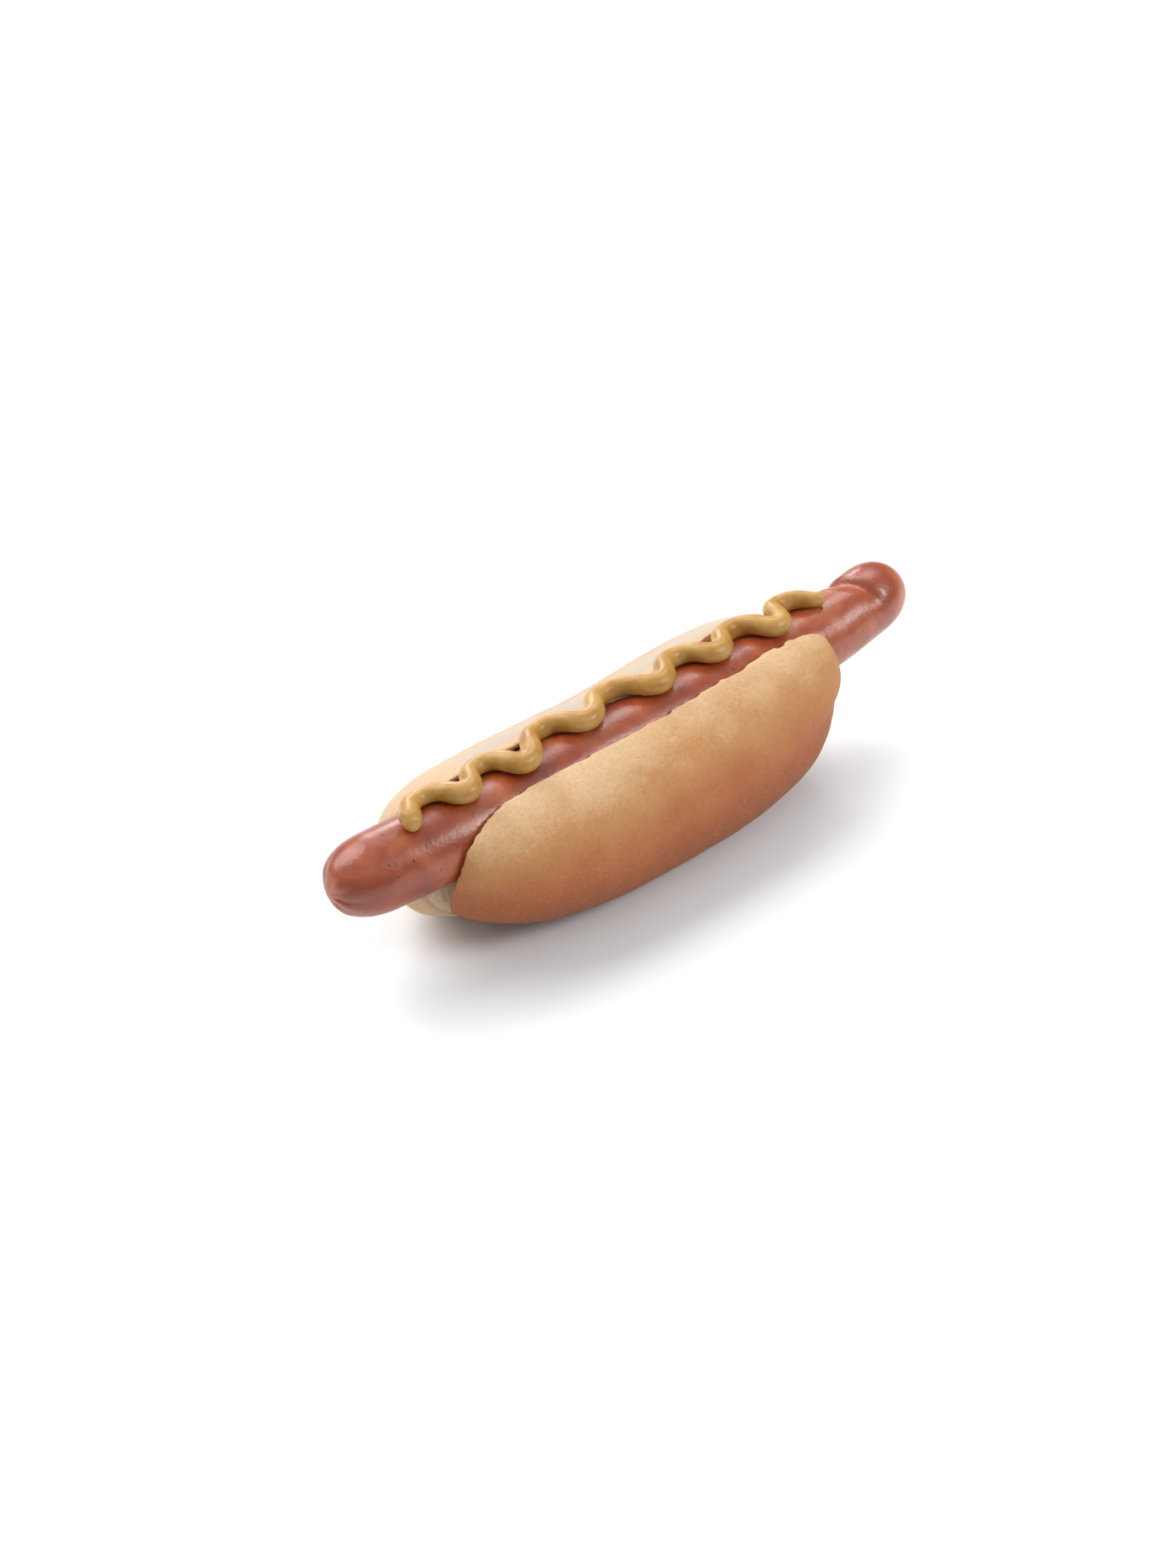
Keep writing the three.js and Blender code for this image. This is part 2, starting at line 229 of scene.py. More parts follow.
class SausageForm:
    """The sausage's centre line and its skin, with the tied tip, the crease and the bulges."""

    FOLDS = (  # the tied skin's folds: degrees round from the crest towards +Y, depth, width and reach
        (-25, 0.3 * MM, 0.2, 4.5 * MM),
        (-62, 0.4 * MM, 0.16, 4 * MM),
        (-88, 0.7 * MM, 0.11, 7.5 * MM),
        (-118, 0.45 * MM, 0.14, 4.5 * MM),
        (-140, 0.6 * MM, 0.12, 6.5 * MM),
        (-162, 0.45 * MM, 0.12, 5 * MM),
        (30, 0.4 * MM, 0.18, 4.5 * MM),
        (75, 0.5 * MM, 0.15, 5 * MM),
        (125, 0.5 * MM, 0.14, 5 * MM),
        (170, 0.5 * MM, 0.15, 5.5 * MM),
    )
    FOLD_START = 1.5 * MM  # the folds fade in over this much from the very tip
    PUCKER_DEPTH = 0.7 * MM
    PUCKER_REACH = 2.0 * MM
    CREASE_FROM_TIP = 19.6 * MM
    CREASE_DEPTH = 2.4 * MM
    CREASE_SIDE = 0.3  # the dent is deepest this far round from the crest towards +Y
    CREASE_SKEW = 0.27
    CREASE_SLOPE = 6.5 * MM  # the dent falls gently on the roll's side and climbs steeply on the tip's
    CREASE_WALL = 3 * MM
    CREASE_SPAN = 1.35  # more makes the crease shorter round the sausage
    CREASE_FADE = 4  # how quickly it fades towards its ends
    CREASE_SHARPNESS = 1.5
    SAMPLES = 700

    def __init__(self, sizes):
        self.sizes = sizes
        self.line = Path(self.centre, sizes.left_tip, sizes.right_tip, self.SAMPLES)

    def centre(self, x):
        left = max(0.0, (-x - LEFT_BEND.start) / LEFT_BEND.over) ** 2
        right = max(0.0, (x - RIGHT_BEND.start) / RIGHT_BEND.over) ** 2
        bow = max(0.0, 1 - (x / BOW_HALF) ** 2) ** 2
        y = self.sizes.middle_y + LEFT_BEND.y * left + RIGHT_BEND.y * right
        level = self.sizes.middle_z + TILT * x + self.sizes.bow * bow
        return Vector((x, y, level + LEFT_BEND.z * left + RIGHT_BEND.z * right))

    def radius(self, x):
        along = (x - self.sizes.left_tip) / (self.sizes.right_tip - self.sizes.left_tip)
        slim = SLIM_LEFT * smooth((-x - SLIM_FROM) / SLIM_OVER)
        slim += SLIM_RIGHT * smooth((x - SLIM_FROM) / SLIM_OVER)
        return lerp(self.sizes.radius_left, self.sizes.radius_right, along) - slim

    def profile(self, distance):
        """Radius at a distance along the line, rounded off at both tips."""
        caps = cap_share(distance, CAP_LEFT, CAP_SQUARENESS)
        caps *= cap_share(self.line.length - distance, CAP_RIGHT, CAP_SQUARENESS)
        return caps * self.radius(self.line.value(distance))

    def surface(self, direction, grown):
        """Where a direction from the middle of a ball with its poles on X meets the plain sausage."""
        share = math.acos(max(-1.0, min(1.0, -direction.x))) / math.pi
        distance = station(share, self.line.length, CAP_LEFT, CAP_RIGHT, CAP_RINGS)
        angle = math.atan2(direction.y, direction.z)
        tangent, across, upward = self.line.axes(distance, UP)
        outward = upward * math.cos(angle) - across * math.sin(angle)
        reach = self.profile(distance)
        if reach > 0:
            reach += grown * min(1.0, reach / CAP_RIGHT)
        return self.line.point(distance) + outward * reach, distance, angle

    def dent(self, distance, angle):
        """How far the skin is drawn in by the tied tip's pucker and folds and by the crease."""
        pucker = self.PUCKER_DEPTH * hump(distance, self.PUCKER_REACH)
        for place, depth, width, reach in self.FOLDS:
            turn = math.remainder(angle - math.radians(place), 2 * math.pi)
            pucker += depth * hump(turn, width) * hump(distance, reach) * smooth(distance / self.FOLD_START)
        side = (angle - self.CREASE_SIDE) / 2
        top = max(0.0, math.cos(side * self.CREASE_SPAN)) ** self.CREASE_FADE
        skew = -self.CREASE_SKEW * math.sin(angle - self.CREASE_SIDE) * self.sizes.radius_right
        gap = distance - (self.line.length - self.CREASE_FROM_TIP + skew)
        width = self.CREASE_SLOPE if gap < 0 else self.CREASE_WALL
        crease = self.CREASE_DEPTH * top * max(0.0, 1 - abs(gap) / width) ** self.CREASE_SHARPNESS
        return pucker + crease


class RollForm:
    """The roll's rounded outer form, before it is slit."""

    def __init__(self, sizes):
        self.sizes = sizes

    def surface(self, direction):
        """Where a direction from the middle of a ball with its poles on X meets the crust."""
        sizes = self.sizes
        up = direction.z > 0
        power = CROWN_SQUARENESS if up else BASE_SQUARENESS
        section = (abs(direction.y) ** power + abs(direction.z) ** power) ** (1 / power)
        pole = abs(direction.z) / section if section > 0 else 0.0
        far = smooth(0.5 + direction.y)
        left = direction.x < 0
        side = (END_SIDE_LEFT if left else END_SIDE) + END_FAR * far
        base = (END_BASE_LEFT if left else END_BASE) + END_FAR_BASE * far
        end = lerp(side, END_CROWN if up else base, pole)
        reach = (abs(direction.x) ** end + section**end) ** (1 / end)
        height = sizes.crown_height if up else sizes.base_depth
        x = direction.x * sizes.half_length / reach
        y = direction.y * sizes.half_width / reach
        z = max(0.0, direction.z * height / reach + sizes.middle_z)
        lobe = 2 * smooth((y + LOBE_BLEND) / (2 * LOBE_BLEND)) - 1
        rise = sizes.rise_right * smooth(x / RISE_OVER) + sizes.rise_left * smooth(-x / RISE_OVER)
        rise += sizes.rise_near * (0.5 - 0.5 * lobe) * smooth((x + NEAR_RISE_FROM) / NEAR_RISE_OVER)
        x = x * (1 + LOBE_STRETCH * lobe) - sizes.stagger * lobe + sizes.centre_x
        return Vector((x, y, z + rise * smooth(z / RISE_TOP)))


class MustardForm:
    """The mustard bead's middle line and section. Whole turns lie on alternate sides, even ones on +Y."""

    START = -1.0
    SAMPLES = 3200

    def __init__(self, sizes, sausage):
        self.sizes = sizes
        self.sausage = sausage
        self.line = Path(self.centre, self.START, float(sizes.turns), self.SAMPLES)

    def far_share(self, turn):
        """1 at the turns on the far side, 0 at those on the near side."""
        return 0.5 + 0.5 * math.cos(math.pi * turn)

    def stray(self, turn, part):
        """How far the line lies off its even waves, eased from one turn to the next."""
        last = min(len(STRAY) - 2, max(0, math.floor(turn + 1)))
        return lerp(STRAY[last][part], STRAY[last + 1][part], smooth(turn + 1 - last))

    def wave_x(self, turn):
        spread = DRIFT * math.sin(2 * math.pi * turn / (self.sizes.turns - DRIFT_SHORT))
        shift = NEAR_SHIFT * (1 - self.far_share(turn)) + LEAN * math.sin(math.pi * turn)
        shift += ROUNDING * math.sin(2 * math.pi * turn)
        return FIRST_TURN_X + self.sizes.pitch * turn - spread + shift + self.stray(turn, 0) * MM

    def wave_angle(self, turn):
        """Angle round the sausage from its crest, towards +Y."""
        begun = smooth((turn + 1) / SWELL_TURNS)
        middle = WAVE_MIDDLE + WAVE_MIDDLE_GAIN * begun + BLOB_ANGLE * smooth(-turn)
        swing = WAVE_SWING * lerp(FIRST_SWING, 1, begun) * math.cos(math.pi * turn)
        return middle + swing + math.radians(self.stray(turn, 1))

    def height(self, turn):
        """Height of the bead's middle above the skin."""
        far = self.far_share(turn)
        climb = self.sizes.climb * smooth(turn / CLIMB_TURNS)
        return self.sizes.sit + self.sizes.heap * (1 - far) + climb * far

    def skin_normal(self, turn):
        angle = self.wave_angle(turn)
        return Vector((0, math.sin(angle), math.cos(angle)))

    def centre(self, turn):
        x = self.wave_x(turn)
        off_line = self.sausage.radius(x) + self.height(turn)
        return self.sausage.centre(x) + self.skin_normal(turn) * off_line

    def bead_radius(self, turn):
        """The bead's radius. The blob fills the first half turn and the tail thins over the last one."""
        body = self.sizes.radius + self.sizes.turn_extra * (1 - self.far_share(turn))
        blob = (self.sizes.blob_radius - body) * smooth(-turn * 2 - 1)
        tail = (self.sizes.tail_radius - body) * smooth(turn - self.sizes.turns + 1)
        return body + blob + tail


# ------------------------------------------------------------------ mesh tools


def ball(around, rings):
    """A ball of radius 1 with its poles on X."""
    bm = bmesh.new()
    turned = Matrix.Rotation(math.pi / 2, 4, "Y")
    bmesh.ops.create_uvsphere(bm, u_segments=around, v_segments=rings, radius=1, matrix=turned)
    return bm


def to_object(bm, name):
    """A new object at the origin that holds the bmesh's faces, pointing outwards."""
    bmesh.ops.recalc_face_normals(bm, faces=bm.faces)
    mesh = bpy.data.meshes.new(name)
    bm.to_mesh(mesh)
    bm.free()
    piece = bpy.data.objects.new(name, mesh)
    bpy.context.scene.collection.objects.link(piece)
    return piece


def apply_modifiers(piece):
    """Keep the shape that the piece's modifiers give and drop the modifiers."""
    shaped = piece.evaluated_get(bpy.context.evaluated_depsgraph_get())
    mesh = bpy.data.meshes.new_from_object(shaped)
    old = piece.data
    piece.modifiers.clear()
    piece.data = mesh
    bpy.data.meshes.remove(old)
    mesh.name = piece.name


def remesh(piece, voxel):
    """Give the piece an even skin of small faces."""
    modifier = piece.modifiers.new("Even skin", "REMESH")
    modifier.mode = "VOXEL"
    modifier.voxel_size = voxel
    apply_modifiers(piece)


def cut(piece, cutter):
    """Take the cutter's space out of the piece and remove the cutter."""
    modifier = piece.modifiers.new("Cut", "BOOLEAN")
    modifier.operation = "DIFFERENCE"
    modifier.solver = "EXACT"
    modifier.object = cutter
    apply_modifiers(piece)
    bpy.data.objects.remove(cutter)


def relax(piece, rounds):
    """Round off the stepped skin and the sharp edges."""
    bm = bmesh.new()
    bm.from_mesh(piece.data)
    for _ in range(rounds):
        bmesh.ops.smooth_vert(
            bm, verts=bm.verts, factor=0.5, use_axis_x=True, use_axis_y=True, use_axis_z=True
        )
    bm.to_mesh(piece.data)
    bm.free()


def push(piece, lift_at):
    """Move every vertex along its normal by what lift_at says for it."""
    bm = bmesh.new()
    bm.from_mesh(piece.data)
    bm.normal_update()
    lifts = [lift_at(vert) for vert in bm.verts]
    for vert, lift in zip(bm.verts, lifts):
        vert.co += vert.normal * lift
    bm.to_mesh(piece.data)
    bm.free()


def grain(place, size, seed):
    """Soft noise from about -1 to 1 with lumps of this size."""
    return noise.noise(place / size + Vector((seed, seed * 1.7, -seed)))


def unevenness(place, layers):
    """Layers of soft noise added up, each with its height, its lumps' size and its seed."""
    return sum(height * grain(place, size, seed) for height, size, seed in layers)


def store(piece, name, values):
    """Keep a number for each vertex as an attribute that a material can read."""
    attribute = piece.data.attributes.new(name, "FLOAT", "POINT")
    attribute.data.foreach_set("value", values)


def finish_piece(piece, node, material):
    """Shade the piece smoothly, give it its finish and let it stand for the frame's node."""
    piece.data.polygons.foreach_set("use_smooth", [True] * len(piece.data.polygons))
    piece.data.materials.clear()
    piece.data.materials.append(material)
    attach(piece, "root")
    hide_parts(node)


# ------------------------------------------------------------------ materials


class Finish:
    """A material's nodes, with short ways to add the ones that the finishes share."""

    def __init__(self, name):
        self.material = bpy.data.materials.new(name)
        self.material.use_nodes = True
        self.nodes = self.material.node_tree.nodes
        self.links = self.material.node_tree.links
        self.shader = self.nodes["Principled BSDF"]
        self.place = self.nodes.new("ShaderNodeTexCoord").outputs["Object"]

    def plug(self, value, socket):
        """Link an output to a socket, or set a plain value on it."""
        if isinstance(value, bpy.types.NodeSocket):
            self.links.new(value, socket)
        else:
            socket.default_value = value

    def noise(self, size, detail=2.0, roughness=0.5, distortion=0.0):
        """Soft noise from 0 to 1 with lumps of about this size."""
        node = self.nodes.new("ShaderNodeTexNoise")
        node.inputs["Scale"].default_value = 1 / size
        node.inputs["Detail"].default_value = detail
        node.inputs["Roughness"].default_value = roughness
        node.inputs["Distortion"].default_value = distortion
        self.plug(self.place, node.inputs["Vector"])
        return node.outputs["Fac"]

    def cells(self, size):
        """Distance from scattered points, about this far apart, and a random colour for each."""
        node = self.nodes.new("ShaderNodeTexVoronoi")
        node.inputs["Scale"].default_value = 1 / size
        self.plug(self.place, node.inputs["Vector"])
        return node.outputs["Distance"], node.outputs["Color"]

    def attribute(self, name):
        """A number that is stored on the piece's vertices."""
        node = self.nodes.new("ShaderNodeAttribute")
        node.attribute_name = name
        return node.outputs["Fac"]

    def part(self, vector, axis):
        """One of the X, Y and Z of a vector or a colour."""
        node = self.nodes.new("ShaderNodeSeparateXYZ")
        self.plug(vector, node.inputs[0])
        return node.outputs[axis]

    def math(self, operation, a, b):
        node = self.nodes.new("ShaderNodeMath")
        node.operation = operation
        self.plug(a, node.inputs[0])
        self.plug(b, node.inputs[1])
        return node.outputs[0]

    def spread(self, value, start, end, low=0.0, high=1.0):
        """The value's place between start and end, eased, as a number from low to high."""
        node = self.nodes.new("ShaderNodeMapRange")
        node.interpolation_type = "SMOOTHSTEP"
        self.plug(value, node.inputs["Value"])
        ends = {"From Min": start, "From Max": end, "To Min": low, "To Max": high}
        for name, number in ends.items():
            node.inputs[name].default_value = number
        return node.outputs["Result"]

    def ramp(self, value, stops):
        """A colour from a list of (place, colour) stops."""
        node = self.nodes.new("ShaderNodeValToRGB")
        elements = node.color_ramp.elements
        while len(elements) < len(stops):
            elements.new(0.5)
        for element, (place, colour) in zip(elements, stops):
            element.position = place
            element.color = (*colour, 1)
        self.plug(value, node.inputs["Fac"])
        return node.outputs["Color"]

    def mix(self, share, a, b):
        """Two colours mixed by a share."""
        node = self.nodes.new("ShaderNodeMix")
        node.data_type = "RGBA"
        self.plug(share, node.inputs["Factor"])
        for colour, socket in ((a, node.inputs["A"]), (b, node.inputs["B"])):
            self.plug(colour if isinstance(colour, bpy.types.NodeSocket) else (*colour, 1), socket)
        return node.outputs["Result"]

    def bump(self, height, depth, below=None):
        """A fine relief of this depth on top of the one below."""
        node = self.nodes.new("ShaderNodeBump")
        node.inputs["Distance"].default_value = depth
        self.plug(height, node.inputs["Height"])
        if below is not None:
            self.plug(below, node.inputs["Normal"])
        return node.outputs["Normal"]

    def set(self, **values):
        """Plug values into the shader's sockets, named with _ for a space."""
        for name, value in values.items():
            self.plug(value, self.shader.inputs[name.replace("_", " ")])


def crust_finish(colours):
    """Soft baked crust, browner low down and to the right, and pale crumb where the roll is cut."""
    finish = Finish("Soft crust and crumb")
    patches = finish.noise(17 * MM, detail=4, roughness=0.6)
    grain_share = finish.noise(1.3 * MM, detail=3, roughness=0.7)
    along = finish.part(finish.place, "X")
    slant = finish.math("MULTIPLY", along, -0.05)
    height = finish.math("ADD", finish.part(finish.place, "Z"), slant)
    height = finish.math("ADD", height, finish.spread(patches, 0.3, 0.7, -2.4 * MM, 2.4 * MM))
    height = finish.math("ADD", height, finish.spread(grain_share, 0.3, 0.7, -1.1 * MM, 1.1 * MM))
    crust = finish.ramp(
        finish.spread(height, 8 * MM, 60 * MM),
        [
            (0.0, colours.base),
            (0.2, colours.deep),
            (0.44, colours.brown),
            (0.7, colours.golden),
            (1.0, colours.pale),
        ],
    )
    across = finish.part(finish.place, "Y")
    clouded = finish.math("ADD", across, finish.spread(patches, 0.3, 0.7, -4 * MM, 4 * MM))
    inner = finish.spread(clouded, 36 * MM, 14 * MM)
    # Painted sheen on the far lobe's top, behind its rim: the back light's pale sheen given as a greyish
    # crust colour.
    painted_sheen = finish.math("MULTIPLY", finish.spread(across, 9.5 * MM, 12.5 * MM), inner)
    painted_sheen = finish.math("MULTIPLY", painted_sheen, finish.spread(height, 30 * MM, 44 * MM))
    crust = finish.mix(painted_sheen, crust, colours.painted_sheen)
    # The paler left end of the far lobe.
    left_end = finish.spread(along, -42 * MM, -72 * MM)
    left_end = finish.math("MULTIPLY", left_end, finish.spread(across, -6 * MM, -2 * MM))
    crust = finish.mix(finish.math("MULTIPLY", left_end, inner), crust, colours.tan)
    # Dark and light flecks, then the crumb on the cut faces.
    speckle = finish.noise(0.9 * MM, roughness=0.7)
    crust = finish.mix(finish.spread(speckle, 0.5, 0.72, 0.0, 0.36), crust, colours.brown)
    crust = finish.mix(finish.spread(speckle, 0.5, 0.28, 0.0, 0.4), crust, colours.golden)
    pores, _ = finish.cells(1.6 * MM)
    crumb_tone = finish.mix(finish.spread(pores, 0.1, 0.6), colours.crumb_shade, colours.crumb)
    depth = finish.attribute("depth")
    crumb_share = finish.spread(depth, 0.5 * MM, 1.3 * MM)
    finish.set(Base_Color=finish.mix(crumb_share, crust, crumb_tone))
    finish.set(Roughness=finish.spread(crumb_share, 0, 1, 0.6, 0.9), Specular_IOR_Level=0.3)
    finish.set(Subsurface_Weight=0.12, Subsurface_Radius=(0.6, 0.35, 0.2), Subsurface_Scale=2 * MM)
    dimples = finish.bump(finish.noise(2.6 * MM), 0.12 * MM)
    finish.set(Normal=finish.bump(grain_share, 0.12 * MM, dimples))
    return finish.material


def skin_finish(colours):
    """Smooth smoked skin with clouded colour and a few dark specks."""
    finish = Finish("Smoked sausage skin")
    clouds = finish.noise(13 * MM, detail=3, roughness=0.55, distortion=0.4)
    tone = finish.ramp(clouds, [(0.3, colours.deep), (0.52, colours.red), (0.74, colours.light)])
    distance, chance = finish.cells(3.4 * MM)
    chosen = finish.math("GREATER_THAN", finish.part(chance, "X"), 0.72)
    speck = finish.math("MULTIPLY", finish.spread(distance, 0.17, 0.09), chosen)
    fine = finish.noise(1.1 * MM)
    tone = finish.mix(finish.spread(fine, 0.55, 0.75, 0.0, 0.18), tone, colours.deep)
    finish.set(Base_Color=finish.mix(finish.math("MULTIPLY", speck, 0.85), tone, colours.speck))
    finish.set(Roughness=finish.spread(finish.noise(5 * MM), 0.3, 0.7, 0.29, 0.36))
    finish.set(Specular_IOR_Level=0.75)
    finish.set(Subsurface_Weight=0.15, Subsurface_Radius=(1.0, 0.35, 0.25), Subsurface_Scale=1.5 * MM)
    ripples = finish.bump(finish.noise(4 * MM), 0.1 * MM)
    finish.set(Normal=finish.bump(fine, 0.07 * MM, ripples))
    return finish.material


def mustard_finish(colours):
    """Thick smooth mustard, slightly grainy."""
    finish = Finish("Piped mustard")
    clouds = finish.noise(6 * MM, detail=3)
    tone = finish.ramp(clouds, [(0.35, colours.shade), (0.65, colours.body)])
    flecks = finish.noise(0.7 * MM)
    finish.set(Base_Color=finish.mix(finish.spread(flecks, 0.6, 0.8, 0.0, 0.35), tone, colours.shade))
    finish.set(Roughness=finish.spread(finish.noise(3 * MM), 0.3, 0.7, 0.3, 0.42))
    finish.set(Subsurface_Weight=0.35, Subsurface_Radius=(1.0, 0.7, 0.25), Subsurface_Scale=1.5 * MM)
    finish.set(Normal=finish.bump(finish.noise(0.8 * MM), 0.05 * MM))
    return finish.material


# ------------------------------------------------------------------ settings


def strength(name, description, default):
    return FloatProperty(name=name, description=description, default=default, min=0)


def size(name, description, default):
    return FloatProperty(name=name, description=description, default=default, unit="LENGTH", precision=5)


def colour(name, description, code):
    return FloatVectorProperty(
        name=name, description=description, default=linear(code), subtype="COLOR", min=0, max=1, size=3
    )


class RollSettings(bpy.types.PropertyGroup):
    half_length: size("Half length", "From the roll's middle to either end", 76.1 * MM)
    half_width: size("Half width", "From the slit's middle to either side", 32.8 * MM)
    middle_z: size("Widest height", "Height of the roll's widest line", 26.8 * MM)
    crown_height: size("Crown height", "Height of the crown above the widest line", 22.3 * MM)
    base_depth: size("Base depth", "Depth of the rounded underside before it is flattened", 27.8 * MM)
    centre_x: size("Middle", "Place of the roll's middle along the sausage", -5.4 * MM)
    stagger: size("Stagger", "How far each lobe is shifted lengthwise", 2.4 * MM)
    rise_right: size("Right rise", "How far the crown lifts towards the right end", 4.9 * MM)
    rise_left: size("Left rise", "How far the crown lifts towards the left end", 1.5 * MM)
    rise_near: size("Near rise", "How far the near lobe's crown stands above the far one's", 1.2 * MM)
    mouth_far: size("Far mouth", "From the slit's middle to the far wall, without its lip", 10.6 * MM)
    mouth_near: size("Near mouth", "From the slit's middle to the near rim", 9.3 * MM)
    voxel: size("Skin step", "Size of the faces that the roll's skin is made of", 0.72 * MM)
    pale: colour("Pale crust", "Crust along the rims", "E4CAA2")
    # A pale grey crust colour that paints the back light's sheen on the far lobe's top.
    painted_sheen: colour("Painted sheen crust", "Crust on the far lobe's top", "BDB1A0")
    golden: colour("Golden crust", "Crust on the upper sides", "BE8A56")
    brown: colour("Brown crust", "Crust on the sides", "B06A3F")
    deep: colour("Deep brown crust", "Crust on the lower sides", "A05833")
    base: colour("Base crust", "Crust round the base", "905131")
    tan: colour("Tan", "The far lobe's left end", "D0B08C")
    crumb: colour("Crumb", "Cut crumb", "F4DFC0")
    crumb_shade: colour("Crumb pores", "The crumb's pores", "E4C8A0")


class SausageSettings(bpy.types.PropertyGroup):
    left_tip: size("Left tip", "Place of the tied tip", -110.9 * MM)
    right_tip: size("Right tip", "Place of the plain tip", 110.4 * MM)
    radius_left: size("Left radius", "Radius at the tied end", 12.45 * MM)
    radius_right: size("Right radius", "Radius at the plain end", 11.9 * MM)
    middle_y: size("Offset", "How far the sausage lies off the slit's middle", -0.7 * MM)
    middle_z: size("Height", "Height of the sausage's middle line", 37.25 * MM)
    bow: size("Bow", "How far the middle stretch arches up", 1.2 * MM)
    red: colour("Skin", "The skin's main colour", "9A4420")
    deep: colour("Deep skin", "Darker clouds in the skin", "803319")
    light: colour("Light skin", "Lighter clouds in the skin", "B56640")
    speck: colour("Specks", "Specks of spice under the skin", "4E1E10")


class MustardSettings(bpy.types.PropertyGroup):
    turns: IntProperty(name="Turns", description="Half waves after the first one", default=13, min=3)
    pitch: size("Half wave", "Length of one half wave", 11.77 * MM)
    radius: size("Radius", "Radius of the bead", 2.75 * MM)
    turn_extra: size("Turn extra", "Added to the radius at the near turns", 0.7 * MM)
    sit: size("Sit", "Height of the bead's middle above the skin", 2.4 * MM)
    heap: size("Heap", "Added to that height at the near turns", 0.4 * MM)
    climb: size("Climb", "Added to that height beside the far rim", 1.2 * MM)
    blob_radius: size("Blob radius", "Radius of the blob that starts the bead", 3.6 * MM)
    tail_radius: size("Tail radius", "Radius of the thin end", 1.9 * MM)
    voxel: size("Skin step", "Size of the faces that the bead's skin is made of", 0.3 * MM)
    body: colour("Mustard", "The mustard's main colour", "BE9450")
    shade: colour("Deep mustard", "Darker clouds and grains", "AC7B33")


class StageSettings(bpy.types.PropertyGroup):
    floor_size: size("Floor", "Side of the square floor", 6.0)
    floor_tone: colour("Floor tone", "The floor's colour", "F0F4F7")
    wall_strength: strength("Wall light", "Light from the room's walls", 0.17)
    ceiling_strength: strength("Ceiling light", "Light from straight above", 0.66)
    key_strength: strength("Key light", "Strength of the soft light from behind", 2.5)


# ------------------------------------------------------------------ operators


